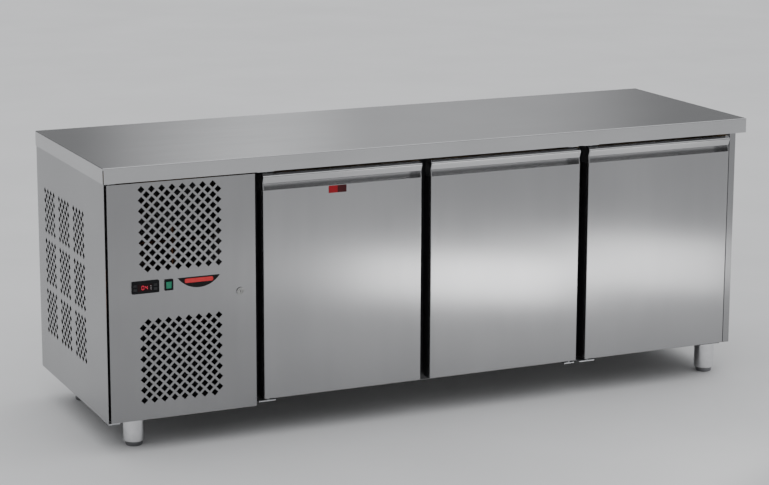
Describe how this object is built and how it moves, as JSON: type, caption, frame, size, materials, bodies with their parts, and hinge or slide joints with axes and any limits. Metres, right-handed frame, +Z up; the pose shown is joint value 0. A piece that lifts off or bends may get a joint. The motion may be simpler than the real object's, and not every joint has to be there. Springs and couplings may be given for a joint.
{
  "type": "under counter fridge",
  "caption": "Low refrigerated worktop counter in satin stainless steel with hinged doors, full-width grips and a louvred machine compartment on the left.",
  "frame": {"origin": "on the floor, at the centre of the cabinet's plan", "axes": "+X to the viewer's right along the front, +Y from the front to the back, +Z up"},
  "size_m": [1.87, 0.6, 0.74],
  "materials": {
    "stainless": "satin brushed",
    "core_board": "raw board",
    "foam": "cut foam",
    "liner_steel": "fine satin",
    "door_steel": "satin brushed, vertical grain",
    "bright_steel": "bright polished",
    "dark_plastic": "matt black",
    "gasket": "soft matt",
    "lock_metal": "plated",
    "bezel": "satin black",
    "window": "dark red window",
    "key_grey": "moulded",
    "rocker_green": "translucent green",
    "plate_red": "enamelled",
    "tag_red": "film",
    "bracket_steel": "satin",
    "wire": "coated wire",
    "fins": "mill finish",
    "fan_black": "moulded",
    "motor_grey": "satin",
    "pump_black": "gloss black",
    "copper": "drawn copper tube"
  },
  "bodies": {
    "cabinet": {"worktop": "stainless", "worktop_core": "core_board", "side_left": "stainless", "side_right": "stainless", "back_panel": "stainless", "base_panel": "stainless", "insulation": "foam", "liner": "liner_steel", "front_frame": "dark_plastic", "bulkhead": "stainless", "hinge_brackets": "bracket_steel", "shelf_supports": "bracket_steel", "evaporator_coil": "fins", "evaporator_case": "liner_steel", "evaporator_motor": "motor_grey", "condenser_coil": "fins", "condenser_shroud": "motor_grey", "condenser_motor": "motor_grey", "compressor": "pump_black", "compressor_mounts": "gasket", "pipes": "copper", "electrical_box": "dark_plastic", "leg_tubes": "bright_steel"},
    "service": {"service_panel": "stainless", "lock_body": "lock_metal", "controller_housing": "bezel", "controller_display": "window", "rocker_frame": "bezel", "name_plate": "plate_red"},
    "lock_cam": {"lock_cam": "lock_metal"},
    "rocker": {"rocker": "rocker_green"},
    "key_1": {"key_1": "key_grey"},
    "key_2": {"key_2": "key_grey"},
    "key_3": {"key_3": "key_grey"},
    "key_4": {"key_4": "key_grey"},
    "door_1": {"door_1_skin": "door_steel", "door_1_core": "foam", "door_1_liner": "dark_plastic", "door_1_gasket": "gasket", "door_1_handle": "bright_steel", "door_tag": "tag_red"},
    "door_2": {"door_2_skin": "door_steel", "door_2_core": "foam", "door_2_liner": "dark_plastic", "door_2_gasket": "gasket", "door_2_handle": "bright_steel"},
    "door_3": {"door_3_skin": "door_steel", "door_3_core": "foam", "door_3_liner": "dark_plastic", "door_3_gasket": "gasket", "door_3_handle": "bright_steel"},
    "shelf_1": {"shelf_1": "wire"},
    "shelf_2": {"shelf_2": "wire"},
    "shelf_3": {"shelf_3": "wire"},
    "evaporator_fan": {"evaporator_fan": "fan_black"},
    "condenser_fan": {"condenser_fan": "fan_black"},
    "foot_1": {"foot_1": "bright_steel"},
    "foot_2": {"foot_2": "bright_steel"},
    "foot_3": {"foot_3": "bright_steel"},
    "foot_4": {"foot_4": "bright_steel"}
  },
  "joints": [
    {"name": "door_1_hinge", "type": "hinge", "parent": "cabinet", "child": "door_1", "pos_m": [-0.496, -0.277, 0.4], "axis": [0, 0, -1], "range_deg": [0, 90]},
    {"name": "door_2_hinge", "type": "hinge", "parent": "cabinet", "child": "door_2", "pos_m": [0.3935, -0.277, 0.4], "axis": [0, 0, 1], "range_deg": [0, 90]},
    {"name": "door_3_hinge", "type": "hinge", "parent": "cabinet", "child": "door_3", "pos_m": [0.451, -0.277, 0.4], "axis": [0, 0, -1], "range_deg": [0, 90]},
    {"name": "service_hinge", "type": "hinge", "parent": "cabinet", "child": "service", "pos_m": [-0.917, -0.286, 0.4], "axis": [0, 0, -1], "range_deg": [0, 100]},
    {"name": "lock_turn", "type": "hinge", "parent": "service", "child": "lock_cam", "pos_m": [-0.575, -0.28, 0.395], "axis": [0, 1, 0], "range_deg": [0, 90]},
    {"name": "switch_rock", "type": "hinge", "parent": "service", "child": "rocker", "pos_m": [-0.767, -0.29, 0.4305], "axis": [-1, 0, 0], "range_deg": [0, 14]},
    {"name": "key_1_press", "type": "slide", "parent": "service", "child": "key_1", "axis": [0, 1, 0], "range_m": [0, 0.0008], "stiffness_N_per_m": 300},
    {"name": "key_2_press", "type": "slide", "parent": "service", "child": "key_2", "axis": [0, 1, 0], "range_m": [0, 0.0008], "stiffness_N_per_m": 300},
    {"name": "key_3_press", "type": "slide", "parent": "service", "child": "key_3", "axis": [0, 1, 0], "range_m": [0, 0.0008], "stiffness_N_per_m": 300},
    {"name": "key_4_press", "type": "slide", "parent": "service", "child": "key_4", "axis": [0, 1, 0], "range_m": [0, 0.0008], "stiffness_N_per_m": 300},
    {"name": "evaporator_fan_spin", "type": "hinge", "parent": "cabinet", "child": "evaporator_fan", "pos_m": [-0.45, 0.06, 0.572], "axis": [1, 0, 0], "continuous": true},
    {"name": "condenser_fan_spin", "type": "hinge", "parent": "cabinet", "child": "condenser_fan", "pos_m": [-0.75, -0.165, 0.2175], "axis": [0, -1, 0], "continuous": true},
    {"name": "shelf_1_slide", "type": "slide", "parent": "cabinet", "child": "shelf_1", "axis": [0, -1, 0], "range_m": [0, 0.02]},
    {"name": "shelf_2_slide", "type": "slide", "parent": "cabinet", "child": "shelf_2", "axis": [0, -1, 0], "range_m": [0, 0.02]},
    {"name": "shelf_3_slide", "type": "slide", "parent": "cabinet", "child": "shelf_3", "axis": [0, -1, 0], "range_m": [0, 0.02]},
    {"name": "foot_1_screw", "type": "slide", "parent": "cabinet", "child": "foot_1", "axis": [0, 0, -1], "range_m": [0, 0.03]},
    {"name": "foot_2_screw", "type": "slide", "parent": "cabinet", "child": "foot_2", "axis": [0, 0, -1], "range_m": [0, 0.03]},
    {"name": "foot_3_screw", "type": "slide", "parent": "cabinet", "child": "foot_3", "axis": [0, 0, -1], "range_m": [0, 0.03]},
    {"name": "foot_4_screw", "type": "slide", "parent": "cabinet", "child": "foot_4", "axis": [0, 0, -1], "range_m": [0, 0.03]}
  ]
}
